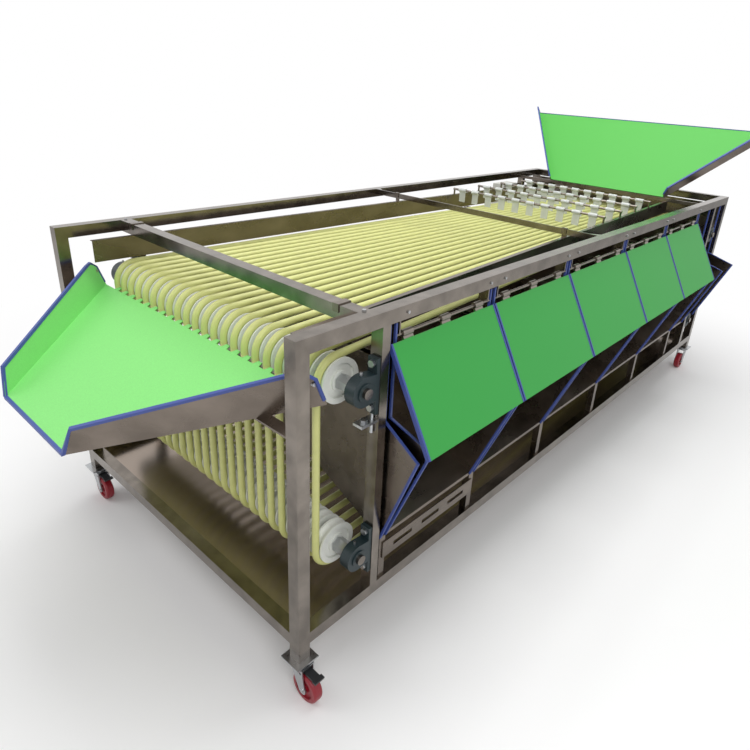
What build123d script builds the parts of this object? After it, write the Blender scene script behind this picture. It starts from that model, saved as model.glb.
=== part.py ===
"""Fruit grading machine: diverging round cords over lined outlet chutes, in a square tube frame on casters.

Millimetres, +Z up, +X towards the feed end, -Y the outlet side. The origin is the middle of the overall
box, on the floor. Inside this file heights are counted from the underside of the bottom rails.
"""

import os
from math import atan2, cos, degrees, radians, sin, sqrt, tan

from build123d import *

os.makedirs("parts", exist_ok=True)

# Frame of square tube
tube = 40.0
tube_wall = 2.0
frame_length = 3350.0
frame_width = 1315.0
frame_height = 939.0
leg_stub = 50.0
end_cap = 3.0
drain_hole = 4.0
half_l = frame_length / 2
half_w = frame_width / 2
inner_w = half_w - tube
rail_under = frame_height - tube
upright_w = 30.0
upright_x = -1379.0
far_upright_x = 1442.0
crossbar_x = -1425.0
mid_bar_x = -77.0
mid_bar_t = 6.0
mid_bar_h = 25.0
deck_t = 3.0

# Casters
caster_height = 140.0
wheel_r = 50.0
wheel_w = 32.0
axle_r = 6.0
swivel_pin_r = 6.0
caster_trail = 34.0
fork_arm_t = 4.0
rail_z = caster_height + leg_stub

# Cords, pulleys and shafts
cord_count = 22
cord_r = 11.0
near_pitch = 52.0
far_pitch = 35.7
wrap_r = 70.0
pulley_r = 66.0
groove_r = 14.0
groove_clear = 0.3
near_pulley_w = 36.0
far_pulley_w = 30.0
recess_in = 30.0
recess_out = 50.0
recess_depth = 7.0
near_x = -1447.0
far_x = 1510.0
upper_z = 731.0
lower_z = 183.0
shaft_r = 15.0
shaft_half = 668.0
seat_clear = 0.05
top_run_z = upper_z + wrap_r
return_run_z = lower_z - wrap_r

# Pillow blocks
block_w = 34.0
block_r = 43.0
block_base_t = 12.0
block_base_h = 164.0
block_bolt = 65.0
bolt_r = 6.0

# Side guards over the cords
guard_bottom = 822.0
guard_near_x = -1590.0
guard_far_x = 1450.0
guard_near_y = 535.0
guard_slope = 0.051
guard_t = 1.5
guard_flange = 16.0

# Spreader rods and their rows of tags
rod_x = (380.0, 605.0, 830.0, 1055.0)
rod_z = 928.0
rod_r = 6.0
tag_count = 10
tag_side = 48.0
tag_w = 38.0
tag_cap_w = 45.0
tag_bottom = 865.0
tag_t = 3.0
tag_sleeve_r = 10.0
rod_fit = 0.1

# Discharge tray
tray_in_x = -1535.0
tray_in_z = 712.0
tray_in_half = 605.0
tray_lip_x = -2025.0
tray_lip_z = 585.0
tray_lip_half = 193.0
tray_peak = 108.0
tray_lip_wall = 71.0
tray_t = 1.5
lining_t = 3.0
finger_len = 17.0
finger_root = 26.0
finger_tip = 16.0

# Feed hopper
hop_in_x = 1374.0
hop_in_z = 919.0
hop_in_half = 376.0
hop_top_x = 1809.0
hop_top_z = 1310.0
hop_top_half = 773.0
hop_side = 58.0
hop_t = 2.0

# Outlet bays
bay_x = (-1340.0, -872.0, -362.0, 172.0, 672.0, 1180.0, 1400.0)
wall_half_gap = 12.0
wall_t = 2.0
lip_y = -650.0
lip_z = 205.0
floor_t = 1.5
floor_angle = 24.5
floor_in_y = 560.0
wall_top = 880.0
kink_z = 605.0
wall_face_y = -642.0
end_plate_x = 1600.0

# Flaps
hinge_y = -640.0
hinge_z = 852.0
hinge_r = 5.0
knuckle_r = 10.0
knuckle_len = 40.0
flap_angle = 29.0
flap_length = 342.0
flap_t = 12.0
flap_side = 8.0
flap_count = 5

# Drive
motor_x = 1290.0
motor_z = 250.0
chain_y = 585.0
sprocket_r = 48.0
drive_sprocket_r = 72.0
sprocket_t = 7.0
chain_t = 8.0
chain_w = 14.0

# Reaches past the frame, and the middle of the overall box
tray_pitch = atan2(tray_in_z - tray_lip_z, tray_in_x - tray_lip_x)
tray_run = sqrt((tray_in_x - tray_lip_x) ** 2 + (tray_in_z - tray_lip_z) ** 2)
hop_pitch = atan2(hop_top_z - hop_in_z, hop_top_x - hop_in_x)
hop_run = sqrt((hop_top_x - hop_in_x) ** 2 + (hop_top_z - hop_in_z) ** 2)
hop_edge_angle = atan2(hop_top_half - hop_in_half, hop_run)
hop_side_t = hop_t / cos(hop_edge_angle)
flap_a = radians(flap_angle)
reach_near = tray_lip_x
reach_far = hop_top_x + hop_t * sin(hop_pitch)
reach_out = hinge_y - flap_length * sin(flap_a) - flap_t / 2 * cos(flap_a)
reach_back = hop_top_half + hop_side_t
mid_x = -(reach_near + reach_far) / 2
mid_y = -(reach_out + reach_back) / 2

base = Plane(origin=(mid_x, mid_y, rail_z))


def level(z):
    """Horizontal plane at height z above the underside of the bottom rails."""
    return Plane(origin=(mid_x, mid_y, rail_z + z))


def across(x):
    """Upright plane across the machine at x, local x along +Y, facing +X."""
    return Plane(origin=(mid_x + x, mid_y, rail_z), x_dir=(0, 1, 0), z_dir=(1, 0, 0))


def along(y):
    """Upright plane along the machine at y, local x along +X, facing -Y."""
    return Plane(origin=(mid_x, mid_y + y, rail_z), x_dir=(1, 0, 0), z_dir=(0, -1, 0))


def spread(pitch):
    return [(i - (cord_count - 1) / 2) * pitch for i in range(cord_count)]


def guard_y(x):
    return guard_near_y - guard_slope * (x - guard_near_x)


near_y = spread(near_pitch)
far_y = spread(far_pitch)
corner_points = [(sx * (half_l - tube / 2), sy * (half_w - tube / 2)) for sx in (-1, 1) for sy in (-1, 1)]
tube_y = half_w - tube / 2

# Corner legs, open at the foot for the caster pin
with BuildPart(base) as corner_legs:
    with BuildSketch(level(-leg_stub)):
        with Locations(*corner_points):
            Rectangle(tube, tube)
            Rectangle(tube - 2 * tube_wall, tube - 2 * tube_wall, mode=Mode.SUBTRACT)
    extrude(amount=leg_stub + rail_under)
corner_legs.part.label = "corner_legs"
export_step(corner_legs.part, "parts/corner_legs.step")

# Top side rails with capped ends
with BuildPart(base) as top_rails:
    with Locations((0, tube_y, rail_under + tube / 2), (0, -tube_y, rail_under + tube / 2)):
        Box(frame_length, tube, tube)
        Box(frame_length - 2 * end_cap, tube - 2 * tube_wall, tube - 2 * tube_wall, mode=Mode.SUBTRACT)
    with Locations((-half_l / 2, tube_y, rail_under), (-half_l / 2, -tube_y, rail_under)):
        Cylinder(drain_hole, 4 * tube_wall, mode=Mode.SUBTRACT)
top_rails.part.label = "top_rails"
export_step(top_rails.part, "parts/top_rails.step")

# Bottom rails between the legs
with BuildPart(base) as bottom_rails:
    with Locations((0, tube_y, tube / 2), (0, -tube_y, tube / 2)):
        Box(frame_length - 2 * tube, tube, tube)
        Box(frame_length - 2 * tube, tube - 2 * tube_wall, tube - 2 * tube_wall, mode=Mode.SUBTRACT)
    with Locations((half_l - tube / 2, 0, tube / 2), (-half_l + tube / 2, 0, tube / 2)):
        Box(tube, 2 * inner_w, tube)
        Box(tube - 2 * tube_wall, 2 * inner_w, tube - 2 * tube_wall, mode=Mode.SUBTRACT)
bottom_rails.part.label = "bottom_rails"
export_step(bottom_rails.part, "parts/bottom_rails.step")

# Uprights that carry the bearings
with BuildPart(base) as mid_uprights:
    with BuildSketch(level(tube)):
        with Locations(*[(x, s * tube_y) for x in (upright_x, far_upright_x) for s in (-1, 1)]):
            Rectangle(upright_w, tube)
            Rectangle(upright_w - 2 * tube_wall, tube - 2 * tube_wall, mode=Mode.SUBTRACT)
    extrude(amount=rail_under - tube)
mid_uprights.part.label = "mid_uprights"
export_step(mid_uprights.part, "parts/mid_uprights.step")

# Cross tubes near the discharge end and at the far end
with BuildPart(base) as cross_tubes:
    with Locations(*[(x, 0, rail_under + tube / 2) for x in (crossbar_x, half_l - tube / 2)]):
        Box(tube, 2 * inner_w, tube)
        Box(tube - 2 * tube_wall, 2 * inner_w, tube - 2 * tube_wall, mode=Mode.SUBTRACT)
cross_tubes.part.label = "cross_tubes"
export_step(cross_tubes.part, "parts/cross_tubes.step")

# Flat bar on edge across the middle, with flared feet
with BuildPart(base) as mid_bar:
    with Locations((mid_bar_x, 0, frame_height - mid_bar_h / 2)):
        Box(mid_bar_t, 2 * inner_w, mid_bar_h)
    for side in (-1, 1):
        with BuildSketch(level(frame_height - mid_bar_h)):
            with BuildLine():
                Polyline(
                    (mid_bar_x + mid_bar_t / 2, side * inner_w),
                    (mid_bar_x + 5 * mid_bar_t, side * inner_w),
                    (mid_bar_x + mid_bar_t / 2, side * (inner_w - tube)),
                    close=True,
                )
            make_face()
        extrude(amount=mid_bar_h)
mid_bar.part.label = "mid_bar"
export_step(mid_bar.part, "parts/mid_bar.step")

# Deck sheet between the bottom rails
with BuildPart(base) as deck_plate:
    with Locations((0, 0, deck_t / 2)):
        Box(frame_length - 2 * tube, 2 * inner_w, deck_t)
deck_plate.part.label = "deck_plate"
export_step(deck_plate.part, "parts/deck_plate.step")

# Side guards: upright sheets with a folded top flange, closing in towards the feed end
with BuildPart(base) as side_guards:
    for side in (-1, 1):
        for z_low, z_high, depth in (
            (guard_bottom, rail_under - guard_t, guard_t),
            (rail_under - guard_t, rail_under, guard_flange),
        ):
            with BuildSketch(level(z_low)):
                with BuildLine():
                    Polyline(
                        (guard_near_x, side * guard_y(guard_near_x)),
                        (guard_far_x, side * guard_y(guard_far_x)),
                        (guard_far_x, side * (guard_y(guard_far_x) + depth)),
                        (guard_near_x, side * (guard_y(guard_near_x) + depth)),
                        close=True,
                    )
                make_face()
            extrude(amount=z_high - z_low)
side_guards.part.label = "side_guards"
export_step(side_guards.part, "parts/side_guards.step")

# Hooks over the near cross tube and clips on the middle bar that hold the guards
hook_w = 22.0
hook_t = 3.0
with BuildPart(base) as guard_hooks:
    for bar_x, bar_half in ((crossbar_x, tube / 2), (mid_bar_x, mid_bar_t / 2)):
        hook_out = guard_y(bar_x + bar_half) + guard_t
        for side in (-1, 1):
            with BuildSketch(along(side * (hook_out + hook_w / 2) + hook_w / 2)):
                with BuildLine():
                    Polyline(
                        (bar_x - bar_half - hook_t, frame_height + hook_t),
                        (bar_x + bar_half + hook_t, frame_height + hook_t),
                        (bar_x + bar_half + hook_t, rail_under),
                        (bar_x + bar_half, rail_under),
                        (bar_x + bar_half, frame_height),
                        (bar_x - bar_half, frame_height),
                        (bar_x - bar_half, frame_height - tube / 2),
                        (bar_x - bar_half - hook_t, frame_height - tube / 2),
                        close=True,
                    )
                make_face()
            extrude(amount=hook_w)
guard_hooks.part.label = "guard_hooks"
export_step(guard_hooks.part, "parts/guard_hooks.step")

# Discharge tray, drawn on its own sloping floor plane: local x runs down to the lip
tray_plane = Plane(
    origin=(mid_x + tray_in_x, mid_y, rail_z + tray_in_z),
    x_dir=(-cos(tray_pitch), 0, -sin(tray_pitch)),
    z_dir=(-sin(tray_pitch), 0, cos(tray_pitch)),
)
tray_edge = atan2(tray_in_half - tray_lip_half, tray_run)
tray_side_t = tray_t / cos(tray_edge)
tray_line_t = lining_t / cos(tray_edge)
finger_y = [(near_y[i] + near_y[i + 1]) / 2 for i in range(cord_count - 1)]
peak_at = 0.06 * tray_run
lip_back = 0.075 * tray_run


def tray_outline(low):
    """Side outline of the tray on the upright plane through its slope, from height low."""
    return [
        (0, low),
        (0, 12),
        (0.02 * tray_run, 0.75 * tray_peak),
        (peak_at, tray_peak),
        (0.10 * tray_run, tray_peak),
        (tray_run - lip_back, tray_lip_wall),
        (tray_run, 0),
        (tray_run, low),
    ]


tray_side_plane = Plane(origin=tray_plane.origin, x_dir=tray_plane.x_dir, z_dir=-tray_plane.y_dir)
with BuildPart(base) as discharge_tray:
    with BuildSketch(tray_plane.offset(-tray_t)):
        with BuildLine():
            Polyline(
                (0, -tray_in_half - tray_side_t),
                (tray_run, -tray_lip_half - tray_side_t),
                (tray_run, tray_lip_half + tray_side_t),
                (0, tray_in_half + tray_side_t),
                close=True,
            )
        make_face()
    extrude(amount=tray_t)
    for side in (-1, 1):
        with BuildSketch(tray_plane):
            with BuildLine():
                Polyline(
                    (0, side * tray_in_half),
                    (tray_run, side * tray_lip_half),
                    (tray_run, side * (tray_lip_half + tray_side_t)),
                    (0, side * (tray_in_half + tray_side_t)),
                    close=True,
                )
            make_face()
        extrude(amount=tray_peak)
    with BuildSketch(tray_side_plane.offset(-2 * tray_in_half)):
        with BuildLine():
            Polyline(*tray_outline(-2 * tray_t), close=True)
        make_face()
    extrude(amount=4 * tray_in_half, mode=Mode.INTERSECT)
    with BuildSketch(tray_plane.offset(-tray_t)):
        for y in finger_y:
            with BuildLine():
                Polyline(
                    (0.5, y - finger_root / 2),
                    (-finger_len, y - finger_tip / 2),
                    (-finger_len, y + finger_tip / 2),
                    (0.5, y + finger_root / 2),
                    close=True,
                )
            make_face()
    extrude(amount=tray_t)
discharge_tray.part.label = "discharge_tray"
export_step(discharge_tray.part, "parts/discharge_tray.step")

# Green lining of the tray, its floor, the insides of the walls and the comb fingers
with BuildPart(base) as tray_lining:
    with BuildSketch(tray_plane):
        with BuildLine():
            Polyline(
                (0, -tray_in_half),
                (tray_run, -tray_lip_half),
                (tray_run, tray_lip_half),
                (0, tray_in_half),
                close=True,
            )
        make_face()
    extrude(amount=lining_t)
    for side in (-1, 1):
        with BuildSketch(tray_plane):
            with BuildLine():
                Polyline(
                    (0, side * (tray_in_half - tray_line_t)),
                    (tray_run, side * (tray_lip_half - tray_line_t)),
                    (tray_run, side * tray_lip_half),
                    (0, side * tray_in_half),
                    close=True,
                )
            make_face()
        extrude(amount=tray_peak)
    with BuildSketch(tray_side_plane.offset(-2 * tray_in_half)):
        with BuildLine():
            Polyline(*tray_outline(-tray_t), close=True)
        make_face()
    extrude(amount=4 * tray_in_half, mode=Mode.INTERSECT)
    with BuildSketch(tray_plane):
        for y in finger_y:
            with BuildLine():
                Polyline(
                    (0.5, y - finger_root / 2),
                    (-finger_len, y - finger_tip / 2),
                    (-finger_len, y + finger_tip / 2),
                    (0.5, y + finger_root / 2),
                    close=True,
                )
            make_face()
    extrude(amount=lining_t)
tray_lining.part.label = "tray_lining"
export_step(tray_lining.part, "parts/tray_lining.step")

# Feed hopper, drawn on its own sloping floor plane: local x runs up to the top edge
hop_plane = Plane(
    origin=(mid_x + hop_in_x, mid_y, rail_z + hop_in_z),
    x_dir=(cos(hop_pitch), 0, sin(hop_pitch)),
    z_dir=(-sin(hop_pitch), 0, cos(hop_pitch)),
)
hop_side_plane = Plane(origin=hop_plane.origin, x_dir=hop_plane.x_dir, z_dir=-hop_plane.y_dir)
hop_line_t = lining_t / cos(hop_edge_angle)


def hop_outline(low):
    """Side outline of the hopper on the upright plane through its slope, from height low."""
    return [
        (0, low),
        (0, 0.5 * hop_side),
        (0.4 * hop_side, hop_side),
        (hop_run - 0.1 * hop_side, hop_side),
        (hop_run, 0),
        (hop_run, low),
    ]


with BuildPart(base) as feed_hopper:
    with BuildSketch(hop_plane.offset(-hop_t)):
        with BuildLine():
            Polyline(
                (0, -hop_in_half - hop_side_t),
                (hop_run, -hop_top_half - hop_side_t),
                (hop_run, hop_top_half + hop_side_t),
                (0, hop_in_half + hop_side_t),
                close=True,
            )
        make_face()
    extrude(amount=hop_t)
    for side in (-1, 1):
        with BuildSketch(hop_plane):
            with BuildLine():
                Polyline(
                    (0, side * hop_in_half),
                    (hop_run, side * hop_top_half),
                    (hop_run, side * (hop_top_half + hop_side_t)),
                    (0, side * (hop_in_half + hop_side_t)),
                    close=True,
                )
            make_face()
        extrude(amount=hop_side)
    with BuildSketch(hop_side_plane.offset(-2 * hop_top_half)):
        with BuildLine():
            Polyline(*hop_outline(-2 * hop_t), close=True)
        make_face()
    extrude(amount=4 * hop_top_half, mode=Mode.INTERSECT)
feed_hopper.part.label = "feed_hopper"
export_step(feed_hopper.part, "parts/feed_hopper.step")

# Green lining of the hopper
with BuildPart(base) as hopper_lining:
    with BuildSketch(hop_plane):
        with BuildLine():
            Polyline(
                (0, -hop_in_half),
                (hop_run, -hop_top_half),
                (hop_run, hop_top_half),
                (0, hop_in_half),
                close=True,
            )
        make_face()
    extrude(amount=lining_t)
    for side in (-1, 1):
        with BuildSketch(hop_plane):
            with BuildLine():
                Polyline(
                    (0, side * (hop_in_half - hop_line_t)),
                    (hop_run, side * (hop_top_half - hop_line_t)),
                    (hop_run, side * hop_top_half),
                    (0, side * hop_in_half),
                    close=True,
                )
            make_face()
        extrude(amount=hop_side)
    with BuildSketch(hop_side_plane.offset(-2 * hop_top_half)):
        with BuildLine():
            Polyline(*hop_outline(-hop_t), close=True)
        make_face()
    extrude(amount=4 * hop_top_half, mode=Mode.INTERSECT)
hopper_lining.part.label = "hopper_lining"
export_step(hopper_lining.part, "parts/hopper_lining.step")

# Outlet chutes: one sloping floor per bay between two side plates
floor_a = radians(floor_angle)
floor_rise = (floor_in_y - lip_y) * tan(floor_a)
floor_drop = floor_t / cos(floor_a)
side_below = 8.0
plate_top = top_run_z - cord_r - side_below
strip_w = 42.0
bay_gap = wall_half_gap + wall_t / 2
with BuildPart(base) as outlet_floors:
    for x0, x1 in zip(bay_x[:-1], bay_x[1:]):
        with BuildSketch(across(x0 + bay_gap)):
            with BuildLine():
                Polyline(
                    (lip_y, lip_z),
                    (floor_in_y, lip_z + floor_rise),
                    (floor_in_y, lip_z + floor_rise - floor_drop),
                    (lip_y + floor_t, lip_z - floor_drop),
                    (lip_y + floor_t, lip_z - 12),
                    (lip_y, lip_z - 12),
                    close=True,
                )
            make_face()
        extrude(amount=x1 - x0 - 2 * bay_gap)
outlet_floors.part.label = "outlet_floors"
export_step(outlet_floors.part, "parts/outlet_floors.step")

# The flap's plane gives the tip of each side plate, just behind the closed flap
flap_dir = (-sin(flap_a), -cos(flap_a))
flap_in = (cos(flap_a), -sin(flap_a))
tip_along = flap_length - 12.0
tip_behind = flap_t / 2 + 0.5
tip_y = hinge_y + tip_along * flap_dir[0] + tip_behind * flap_in[0]
tip_z = hinge_z + tip_along * flap_dir[1] + tip_behind * flap_in[1]


def wall_outline(ty, tz):
    """Outline of a chute side plate with its outer tip at (ty, tz)."""
    return [
        (wall_face_y, rail_under),
        (wall_face_y, kink_z),
        (ty, tz),
        (lip_y, lip_z - side_below),
        (floor_in_y, lip_z + floor_rise - side_below),
        (floor_in_y, plate_top),
        (wall_face_y + strip_w, plate_top),
        (wall_face_y + strip_w, rail_under),
    ]


# Side plates of the chutes in pairs, and the plate over the drive end with the same outline
with BuildPart(base) as outlet_walls:
    for x in bay_x:
        for offset in (-wall_half_gap, wall_half_gap):
            outermost = x == bay_x[0] and offset < 0
            if x == bay_x[-1] and offset > 0:
                continue
            with BuildSketch(across(x + offset - wall_t / 2)):
                with BuildLine():
                    if outermost:
                        Polyline(*wall_outline(tip_y + 24, tip_z - 34), close=True)
                    else:
                        Polyline(*wall_outline(tip_y, tip_z), close=True)
                make_face()
            extrude(amount=wall_t)
    with BuildSketch(across(end_plate_x)):
        with BuildLine():
            Polyline(
                (wall_face_y, rail_under),
                (wall_face_y, kink_z),
                (tip_y, tip_z),
                (lip_y, lip_z - side_below),
                (-inner_w + 10, tube),
                (inner_w - 10, tube),
                (inner_w - 10, rail_under),
                close=True,
            )
        make_face()
    extrude(amount=wall_t)
outlet_walls.part.label = "outlet_walls"
export_step(outlet_walls.part, "parts/outlet_walls.step")

# Lined deflector strip that closes the gap between guard and rail on the outlet side
defl_x = (330.0, 1355.0)
defl_out = inner_w - 20.0
defl_in = inner_w - 72.0
defl_high = rail_under - 2.0
defl_low = rail_under - 58.0
defl_t = 5.0
with BuildPart(base) as deflector:
    with BuildSketch(across(defl_x[0])):
        with BuildLine():
            Polyline(
                (-defl_out, defl_high),
                (-defl_in, defl_low),
                (-defl_in, defl_low + defl_t),
                (-defl_out, defl_high + defl_t),
                close=True,
            )
        make_face()
    extrude(amount=defl_x[1] - defl_x[0])
    with Locations(*[(x, -(defl_out + inner_w - 4) / 2, rail_under + 1.5) for x in (420, 920, 1320)]):
        Box(40, inner_w - defl_out + 4, 3)
deflector.part.label = "deflector"
export_step(deflector.part, "parts/deflector.step")

# Flap ranges along the machine, the hinge rods with their hangers, and the flaps
flap_x = []
for i in range(flap_count):
    start = bay_x[i] - wall_half_gap if i == 0 else bay_x[i] + flap_side
    flap_x.append((start, bay_x[i + 1] - flap_side))
hanger_in = 12.0
hanger_t = 5.0
knuckle_in = 70.0
with BuildPart(base) as flap_hinge_rods:
    for x0, x1 in zip(bay_x[:flap_count], bay_x[1:]):
        rod_from, rod_to = x0 + bay_gap + 1, x1 - bay_gap - 1
        with Locations(((rod_from + rod_to) / 2, hinge_y, hinge_z)):
            Cylinder(hinge_r, rod_to - rod_from, rotation=(0, 90, 0))
        with Locations(*[
            (x, hinge_y, (hinge_z + rail_under) / 2) for x in (rod_from + hanger_in, rod_to - hanger_in)
        ]):
            Box(hanger_t, 2 * hinge_r, rail_under - hinge_z)
flap_hinge_rods.part.label = "flap_hinge_rods"
export_step(flap_hinge_rods.part, "parts/flap_hinge_rods.step")

panel_from = 18.0


def along_flap(s, n):
    """Point on the side view: s down the closed flap from the hinge, n towards the machine."""
    return (
        hinge_y + s * flap_dir[0] + n * flap_in[0],
        hinge_z + s * flap_dir[1] + n * flap_in[1],
    )


for i, (x0, x1) in enumerate(flap_x):
    knuckles = (x0 + knuckle_in, (x0 + x1) / 2, x1 - knuckle_in)
    with BuildPart(base) as flap:
        with BuildSketch(across(x0)):
            with BuildLine():
                Polyline(
                    along_flap(panel_from, -flap_t / 2),
                    along_flap(panel_from, flap_t / 2),
                    along_flap(flap_length, flap_t / 2),
                    along_flap(flap_length, -flap_t / 2),
                    close=True,
                )
            make_face()
        extrude(amount=x1 - x0)
        for x in knuckles:
            with BuildSketch(across(x - knuckle_len / 2)):
                with BuildLine():
                    Polyline(
                        along_flap(0, -flap_t / 4),
                        along_flap(0, flap_t / 4),
                        along_flap(panel_from + 2, flap_t / 4),
                        along_flap(panel_from + 2, -flap_t / 4),
                        close=True,
                    )
                make_face()
                with Locations((hinge_y, hinge_z)):
                    Circle(knuckle_r)
                    Circle(hinge_r + rod_fit, mode=Mode.SUBTRACT)
            extrude(amount=knuckle_len)
    flap.part.label = f"flap_{i + 1}"
    export_step(flap.part, f"parts/flap_{i + 1}.step")

# Pillow blocks on the uprights, with bolts, and take-up brackets under the upper near ones
block_places = [
    (x, face, s * tube_y, z)
    for x, face in ((near_x, upright_x - upright_w / 2), (far_x, far_upright_x + upright_w / 2))
    for s in (-1, 1)
    for z in (upper_z, lower_z)
]
with BuildPart(base) as bearing_housings:
    for x, face, y, z in block_places:
        out = -1 if x < face else 1
        with BuildSketch(along(y + block_w / 2)):
            with BuildLine():
                Polyline(
                    (face, z - block_base_h / 2),
                    (face + out * block_base_t, z - block_base_h / 2),
                    (face + out * block_base_t, z - 0.9 * block_r),
                    (x, z - block_r),
                    (x, z + block_r),
                    (face + out * block_base_t, z + 0.9 * block_r),
                    (face + out * block_base_t, z + block_base_h / 2),
                    (face, z + block_base_h / 2),
                    close=True,
                )
            make_face()
            with Locations((x, z)):
                Circle(block_r)
        extrude(amount=block_w)
        with Locations((x, y, z)):
            Cylinder(0.6 * block_r, block_w + 8, rotation=(90, 0, 0))
            Cylinder(shaft_r + seat_clear, 2 * block_w, rotation=(90, 0, 0), mode=Mode.SUBTRACT)
        with Locations(*[(face + out * block_base_t / 2, y, z + d) for d in (-block_bolt, block_bolt)]):
            Cylinder(bolt_r + 0.3, 2 * block_base_t, rotation=(0, 90, 0), mode=Mode.SUBTRACT)
bearing_housings.part.label = "bearing_housings"
export_step(bearing_housings.part, "parts/bearing_housings.step")

bolt_head = 8.0
take_up_z = 627.0
take_up_reach = 60.0
near_face = upright_x - upright_w / 2
with BuildPart(base) as bearing_bolts:
    for x, face, y, z in block_places:
        out = -1 if x < face else 1
        for d in (-block_bolt, block_bolt):
            with Locations((face + out * block_base_t / 2, y, z + d)):
                Cylinder(bolt_r, block_base_t, rotation=(0, 90, 0))
            head_at = face + out * block_base_t if out > 0 else face - block_base_t - bolt_head
            with BuildSketch(across(head_at)):
                with Locations((y, z + d)):
                    RegularPolygon(1.8 * bolt_r, 6)
            extrude(amount=bolt_head)
    for side in (-1, 1):
        with Locations((near_face - take_up_reach / 2, side * tube_y, take_up_z)):
            Box(take_up_reach, block_w, 8)
        screw_top = upper_z - block_base_h / 2
        with Locations((near_face - block_base_t / 2, side * tube_y, (screw_top + take_up_z - 40) / 2)):
            Cylinder(bolt_r - 0.5, screw_top - take_up_z + 40)
        with BuildSketch(level(take_up_z + 4)):
            with Locations((near_face - 0.6 * take_up_reach, side * tube_y)):
                RegularPolygon(1.8 * bolt_r, 6)
        extrude(amount=bolt_head)
bearing_bolts.part.label = "bearing_bolts"
export_step(bearing_bolts.part, "parts/bearing_bolts.step")

# One grooved pulley of each width, turned about Y
def pulley_half_section(width):
    with BuildPart() as wheel:
        with BuildSketch(Plane.XY):
            bore = shaft_r + seat_clear
            with Locations(((bore + pulley_r) / 2, 0)):
                Rectangle(pulley_r - bore, width)
            with Locations((wrap_r - cord_r - groove_clear + groove_r, 0)):
                Circle(groove_r, mode=Mode.SUBTRACT)
            with Locations(*[((recess_in + recess_out) / 2, s * width / 2) for s in (-1, 1)]):
                Rectangle(recess_out - recess_in, 2 * recess_depth, mode=Mode.SUBTRACT)
        revolve(axis=Axis.Y)
    return wheel.part


near_pulley = pulley_half_section(near_pulley_w)
far_pulley = pulley_half_section(far_pulley_w)
for name, x, z, ys, wheel in (
    ("near_upper", near_x, upper_z, near_y, near_pulley),
    ("near_lower", near_x, lower_z, near_y, near_pulley),
    ("far_upper", far_x, upper_z, far_y, far_pulley),
    ("far_lower", far_x, lower_z, far_y, far_pulley),
):
    with BuildPart(base) as pulleys:
        with Locations(*[(x, y, z) for y in ys]):
            add(wheel)
    pulleys.part.label = f"{name}_pulleys"
    export_step(pulleys.part, f"parts/{name}_pulleys.step")
    with BuildPart(base) as shaft:
        with Locations((x, 0, z)):
            Cylinder(shaft_r, 2 * shaft_half, rotation=(90, 0, 0))
        if name == "far_upper":
            with BuildSketch(along(chain_y + sprocket_t / 2)):
                with Locations((x, z)):
                    Circle(drive_sprocket_r)
                    with PolarLocations(drive_sprocket_r + 1, 36):
                        Circle(4, mode=Mode.SUBTRACT)
            extrude(amount=sprocket_t)
    shaft.part.label = f"{name}_shaft"
    export_step(shaft.part, f"parts/{name}_shaft.step")

# The cords: straight top and return runs that close in towards the feed end, and the bends round the pulleys
for name, z in (("cord_top_runs", top_run_z), ("cord_return_runs", return_run_z)):
    with BuildPart(base) as runs:
        for a, b in zip(near_y, far_y):
            with BuildSketch(across(near_x)):
                with Locations((a, z)):
                    Circle(cord_r)
            with BuildSketch(across(far_x)):
                with Locations((b, z)):
                    Circle(cord_r)
            loft()
    runs.part.label = name
    export_step(runs.part, f"parts/{name}.step")

for name, x, out, ys in (("cord_near_ends", near_x, -1, near_y), ("cord_far_ends", far_x, 1, far_y)):
    with BuildPart() as bend:
        with BuildLine(Plane.XZ):
            CenterArc((x, upper_z), wrap_r, 90, -90 * out)
            Line((x + out * wrap_r, upper_z), (x + out * wrap_r, lower_z))
            CenterArc((x, lower_z), wrap_r, 90 - 90 * out, -90 * out)
        with BuildSketch(Plane(origin=(x, 0, top_run_z), x_dir=(0, 1, 0), z_dir=(1, 0, 0))):
            Circle(cord_r)
        sweep()
    with BuildPart(base) as ends:
        with Locations(*[(0, y, 0) for y in ys]):
            add(bend.part)
    ends.part.label = name
    export_step(ends.part, f"parts/{name}.step")

# Rods across the feed half, bent down onto the guard flanges
with BuildPart(base) as spreader_rods:
    for x in rod_x:
        foot_y = guard_y(x) + guard_flange / 2
        with Locations((x, 0, rod_z)):
            Cylinder(rod_r, 2 * foot_y + 2 * rod_r, rotation=(90, 0, 0))
        with Locations(*[(x, s * foot_y, (rod_z + rail_under) / 2) for s in (-1, 1)]):
            Cylinder(rod_r - 1, rod_z - rail_under)
spreader_rods.part.label = "spreader_rods"
export_step(spreader_rods.part, "parts/spreader_rods.step")

# Rows of tags hanging on the rods
for i, x in enumerate(rod_x):
    tag_half = guard_y(x) - tag_side
    tag_y = [-tag_half + 2 * tag_half * k / (tag_count - 1) for k in range(tag_count)]
    with BuildPart(base) as tag_row:
        for y in tag_y:
            with BuildSketch(along(y + tag_w / 2)):
                with Locations((x, (tag_bottom + rod_z) / 2 - 4)):
                    Rectangle(tag_t, rod_z - tag_bottom - 8)
            extrude(amount=tag_w)
            with BuildSketch(along(y + tag_cap_w / 2)):
                with Locations((x, rod_z)):
                    Circle(tag_sleeve_r)
                    Circle(rod_r + rod_fit, mode=Mode.SUBTRACT)
            extrude(amount=tag_cap_w)
    tag_row.part.label = f"tag_row_{i + 1}"
    export_step(tag_row.part, f"parts/tag_row_{i + 1}.step")

# Brackets of bar and sheet: tray rest, hopper posts, throat bar, motor stand, posts and bar under the chutes
post_w = 26.0
slot_bar_z = (112.0, 172.0)
tray_rest_x = -1654.0
hop_post_w = 30.0
hop_post_y = 350.0
throat_bar_t = 12.0
throat_bar_h = 18.0
stand_t = 6.0
stand_w = 110.0
stand_top = 180.0
stand_in_y = 470.0


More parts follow.
